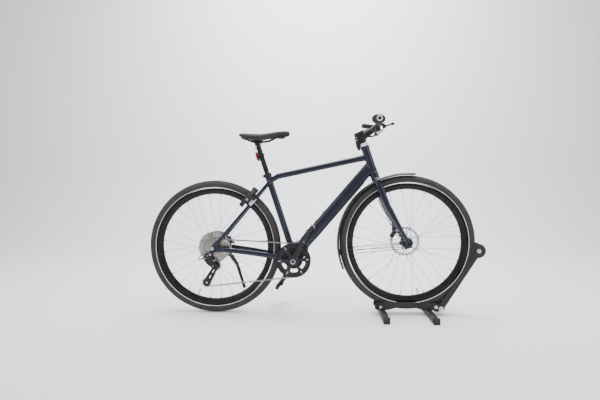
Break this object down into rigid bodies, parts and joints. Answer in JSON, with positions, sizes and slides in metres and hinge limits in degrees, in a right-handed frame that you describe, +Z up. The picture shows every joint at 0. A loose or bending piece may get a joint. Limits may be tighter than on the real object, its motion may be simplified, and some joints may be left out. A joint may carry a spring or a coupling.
{
  "type": "bicycle on stand",
  "caption": "City bicycle with pedal-assist motor, its front wheel parked in a roll-in floor stand; wheels, steering, cranks, levers, seat post and kickstand move.",
  "frame": {"origin": "bottom centre of the bounding box, on the floor", "axes": "+X forward along the bicycle, +Y to the rider's left, +Z up"},
  "size_m": [1.7951, 0.6316, 1.0286],
  "materials": {
    "frame_paint": "satin metallic",
    "black_metal": "satin",
    "stand_black": "semi-matt powder coat",
    "rim_black": "satin anodised",
    "tyre_rubber": "matt",
    "spoke_steel": "polished",
    "disc_steel": "brushed",
    "bolt_steel": "satin",
    "cassette_steel": "satin nickel",
    "chain_steel": "satin",
    "black_plastic": "matt",
    "mudguard_black": "satin",
    "grip_rubber": "matt",
    "hose_black": "satin",
    "saddle_cover": "satin synthetic",
    "light_red": "gloss",
    "button_green": "satin",
    "lock_chrome": "polished"
  },
  "bodies": {
    "stand": {"stand_plate_right": "stand_black", "stand_plate_left": "stand_black", "stand_feet": "stand_black", "stand_cradle": "stand_black", "stand_bolts": "bolt_steel"},
    "stand_arm": {"stand_arm": "stand_black", "roller_bolt": "bolt_steel"},
    "stand_roller": {"stand_roller": "stand_black"},
    "fork": {"fork": "frame_paint", "stem": "black_metal", "handlebar": "black_metal", "grips": "grip_rubber", "control_clamps": "black_plastic", "hoses": "hose_black", "front_mudguard": "mudguard_black", "front_caliper": "black_metal", "front_axle": "black_metal"},
    "brake_lever_right": {"brake_lever_right": "black_metal"},
    "brake_lever_left": {"brake_lever_left": "black_metal"},
    "shift_paddle_up": {"shift_paddle_up": "black_plastic"},
    "shift_paddle_down": {"shift_paddle_down": "black_plastic"},
    "control_button": {"control_button": "button_green"},
    "front_wheel": {"front_tyre": "tyre_rubber", "front_rim": "rim_black", "front_spokes": "spoke_steel", "front_hub": "black_metal", "front_disc": "disc_steel"},
    "frame": {"head_tube": "frame_paint", "headset_bearings": "bolt_steel", "top_tube": "frame_paint", "down_tube": "frame_paint", "battery": "black_plastic", "seat_tube": "frame_paint", "motor": "black_metal", "chain_stays": "frame_paint", "seat_stays": "frame_paint", "seat_collar": "black_metal", "rear_axle": "bolt_steel", "rear_caliper": "black_metal", "derailleur": "black_plastic", "chain": "chain_steel", "ring_lock": "black_plastic"},
    "lock_cylinder": {"lock_cylinder": "lock_chrome"},
    "kickstand": {"kickstand": "black_metal"},
    "crank": {"crank_arms": "black_metal", "chainring": "black_metal"},
    "pedal_right": {"pedal_right": "black_plastic"},
    "pedal_left": {"pedal_left": "black_plastic"},
    "cassette": {"cassette": "cassette_steel"},
    "guide_pulley": {"guide_pulley": "black_plastic"},
    "tension_pulley": {"tension_pulley": "black_plastic"},
    "rear_wheel": {"rear_tyre": "tyre_rubber", "rear_rim": "rim_black", "rear_spokes": "spoke_steel", "rear_hub": "black_metal", "rear_disc": "disc_steel"},
    "seat": {"seat_post": "black_metal", "saddle_rails": "black_metal", "saddle": "saddle_cover", "rear_light": "light_red"}
  },
  "joints": [
    {"name": "arm_fold", "type": "hinge", "parent": "stand", "child": "stand_arm", "pos_m": [0.66722, 0, 0.03872], "axis": [0, 1, 0], "range_deg": [0, 50], "stiffness_Nm_per_rad": 8, "springref_deg": -34.38},
    {"name": "roller_spin", "type": "hinge", "parent": "stand_arm", "child": "stand_roller", "pos_m": [0.85958, 0, 0.34656], "axis": [0, 1, 0], "continuous": true},
    {"name": "roll_out", "type": "slide", "parent": "stand", "child": "fork", "axis": [-0.866, 0, 0.5], "range_m": [0, 0.3]},
    {"name": "front_wheel_spin", "type": "hinge", "parent": "fork", "child": "front_wheel", "pos_m": [0.49002, 0, 0.3854], "axis": [0, 1, 0], "continuous": true},
    {"name": "steering", "type": "hinge", "parent": "fork", "child": "frame", "pos_m": [0.28673, 0, 0.82835], "axis": [-0.3256, 0, 0.9455], "range_deg": [-60, 60]},
    {"name": "brake_lever_right_pull", "type": "hinge", "parent": "fork", "child": "brake_lever_right", "pos_m": [0.34186, -0.149, 0.98233], "axis": [0, 0, -1], "range_deg": [0, 16], "stiffness_Nm_per_rad": 0.6, "springref_deg": -11.46},
    {"name": "brake_lever_left_pull", "type": "hinge", "parent": "fork", "child": "brake_lever_left", "pos_m": [0.34186, 0.149, 0.98233], "axis": [0, 0, 1], "range_deg": [0, 16], "stiffness_Nm_per_rad": 0.6, "springref_deg": -11.46},
    {"name": "shift_up_push", "type": "hinge", "parent": "fork", "child": "shift_paddle_up", "pos_m": [0.29783, -0.129, 0.96352], "axis": [0, -1, 0], "range_deg": [0, 18], "stiffness_Nm_per_rad": 0.1, "springref_deg": -17.19},
    {"name": "shift_down_push", "type": "hinge", "parent": "fork", "child": "shift_paddle_down", "pos_m": [0.29783, -0.115, 0.96352], "axis": [0, -1, 0], "range_deg": [0, 25], "stiffness_Nm_per_rad": 0.1, "springref_deg": -17.19},
    {"name": "control_press", "type": "slide", "parent": "fork", "child": "control_button", "axis": [0.1392, 0, -0.9903], "range_m": [0, 0.0015], "stiffness_N_per_m": 600, "springref_m": -0.001},
    {"name": "rear_wheel_spin", "type": "hinge", "parent": "frame", "child": "rear_wheel", "pos_m": [-0.53958, 0, 0.358], "axis": [0, 1, 0], "continuous": true},
    {"name": "crank_spin", "type": "hinge", "parent": "frame", "child": "crank", "pos_m": [-0.11258, 0, 0.294], "axis": [0, 1, 0], "continuous": true},
    {"name": "cassette_spin", "type": "hinge", "parent": "frame", "child": "cassette", "pos_m": [-0.53958, 0, 0.358], "axis": [0, 1, 0], "continuous": true},
    {"name": "guide_pulley_spin", "type": "hinge", "parent": "frame", "child": "guide_pulley", "pos_m": [-0.52558, -0.045, 0.262], "axis": [0, 1, 0], "continuous": true},
    {"name": "tension_pulley_spin", "type": "hinge", "parent": "frame", "child": "tension_pulley", "pos_m": [-0.57658, -0.045, 0.171], "axis": [0, 1, 0], "continuous": true},
    {"name": "pedal_right_spin", "type": "hinge", "parent": "crank", "child": "pedal_right", "pos_m": [-0.03587, -0.138, 0.45129], "axis": [0, 1, 0], "continuous": true},
    {"name": "pedal_left_spin", "type": "hinge", "parent": "crank", "child": "pedal_left", "pos_m": [-0.1893, 0.138, 0.13671], "axis": [0, 1, 0], "continuous": true},
    {"name": "seat_height", "type": "slide", "parent": "frame", "child": "seat", "axis": [-0.309, 0, 0.9511], "range_m": [-0.06, 0.06]},
    {"name": "kickstand_fold", "type": "hinge", "parent": "frame", "child": "kickstand", "pos_m": [-0.48158, 0.085, 0.304], "axis": [0, 1, 0], "range_deg": [0, 100]},
    {"name": "lock_turn", "type": "hinge", "parent": "frame", "child": "lock_cylinder", "pos_m": [-0.35492, -0.06, 0.61689], "axis": [0, -1, 0], "range_deg": [0, 90]}
  ],
  "couplings": [
    {"joint": "cassette_spin", "follows": "crank_spin", "ratio": 1.8333},
    {"joint": "guide_pulley_spin", "follows": "crank_spin", "ratio": -4},
    {"joint": "tension_pulley_spin", "follows": "crank_spin", "ratio": 4}
  ]
}
